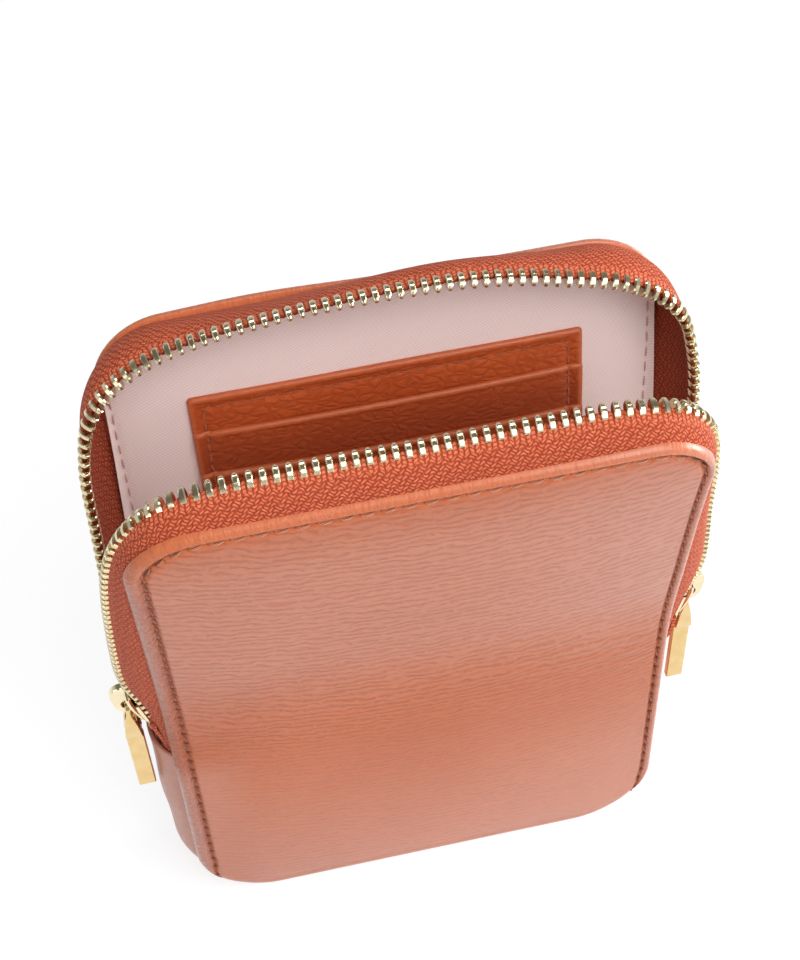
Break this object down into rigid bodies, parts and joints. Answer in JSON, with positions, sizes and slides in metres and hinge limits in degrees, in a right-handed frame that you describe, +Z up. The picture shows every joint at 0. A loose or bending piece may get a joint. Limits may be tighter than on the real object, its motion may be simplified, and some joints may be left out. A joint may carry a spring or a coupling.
{
  "type": "phone pouch",
  "caption": "Upright leather pouch with a zip round its top and upper sides, two sliders with bar pulls, a bulged side gusset and a stepped card pocket on its back lining.",
  "frame": {"origin": "middle of the base, on the floor", "axes": "+X across the panels to the right seen from the front, +Y to the back, +Z up"},
  "size_m": [0.1556, 0.064, 0.2077],
  "materials": {
    "leather": "grained, soft sheen",
    "card_leather": "pebble grain",
    "board": "raw fibre board",
    "lining": "twill",
    "zip_tape": "herringbone woven tape",
    "zip_metal": "polished pale gold plate",
    "pull_metal": "polished yellow gold plate",
    "tan_thread": "waxed thread",
    "pink_thread": "thread"
  },
  "bodies": {
    "base": {"front_leather_lower": "leather", "back_leather_lower": "leather", "front_board_lower": "board", "back_board_lower": "board", "front_lining_lower": "lining", "back_lining_lower": "lining", "gusset_base": "leather", "gusset_left": "leather", "gusset_right": "leather", "gusset_lining_base": "lining", "gusset_lining_left": "lining", "gusset_lining_right": "lining", "zip_end_left": "zip_tape", "zip_end_right": "zip_tape", "front_stitches_lower": "tan_thread", "back_stitches_lower": "tan_thread"},
    "front_flap": {"front_leather_upper": "leather", "front_board_upper": "board", "front_lining_upper": "lining", "front_zip_tape": "zip_tape", "front_zip_teeth": "zip_metal", "front_stitches_upper": "tan_thread"},
    "back_flap": {"back_leather_upper": "leather", "back_board_upper": "board", "back_lining_upper": "lining", "back_zip_tape": "zip_tape", "back_zip_teeth": "zip_metal", "back_stitches_upper": "tan_thread", "card_backing": "card_leather", "card_slot_upper": "card_leather", "card_slot_middle": "card_leather", "card_slot_lower": "card_leather", "card_stitches": "tan_thread", "back_hem_stitches": "pink_thread"},
    "slider_left": {"slider_left": "zip_metal"},
    "slider_right": {"slider_right": "zip_metal"},
    "pull_left": {"pull_left": "pull_metal"},
    "pull_right": {"pull_right": "pull_metal"}
  },
  "joints": [
    {"name": "front_fold", "type": "hinge", "parent": "base", "child": "front_flap", "pos_m": [0, -0.0128, 0.102], "axis": [-1, 0, 0], "range_deg": [0, 12.2], "deforming": ["front_zip_tape", "front_zip_teeth"]},
    {"name": "back_fold", "type": "hinge", "parent": "base", "child": "back_flap", "pos_m": [0, 0.0128, 0.102], "axis": [1, 0, 0], "range_deg": [0, 10.2], "deforming": ["back_zip_tape", "back_zip_teeth"]},
    {"name": "left_zip", "type": "slide", "parent": "base", "child": "slider_left", "axis": [-0.037, 0, 0.9993], "range_m": [0, 0.0605]},
    {"name": "right_zip", "type": "slide", "parent": "base", "child": "slider_right", "axis": [0.037, 0, 0.9993], "range_m": [0, 0.0605]},
    {"name": "left_pull_swing", "type": "hinge", "parent": "slider_left", "child": "pull_left", "pos_m": [-0.07506, -0.0039, 0.09643], "axis": [0, 1, 0], "range_deg": [0, 150]},
    {"name": "right_pull_swing", "type": "hinge", "parent": "slider_right", "child": "pull_right", "pos_m": [0.07506, -0.0039, 0.09643], "axis": [0, -1, 0], "range_deg": [0, 150]}
  ],
  "couplings": [
    {"joint": "back_fold", "follows": "front_fold", "ratio": 0.83197},
    {"joint": "left_zip", "follows": "front_fold", "m_per_rad": 0.28178},
    {"joint": "right_zip", "follows": "front_fold", "m_per_rad": 0.28178}
  ]
}
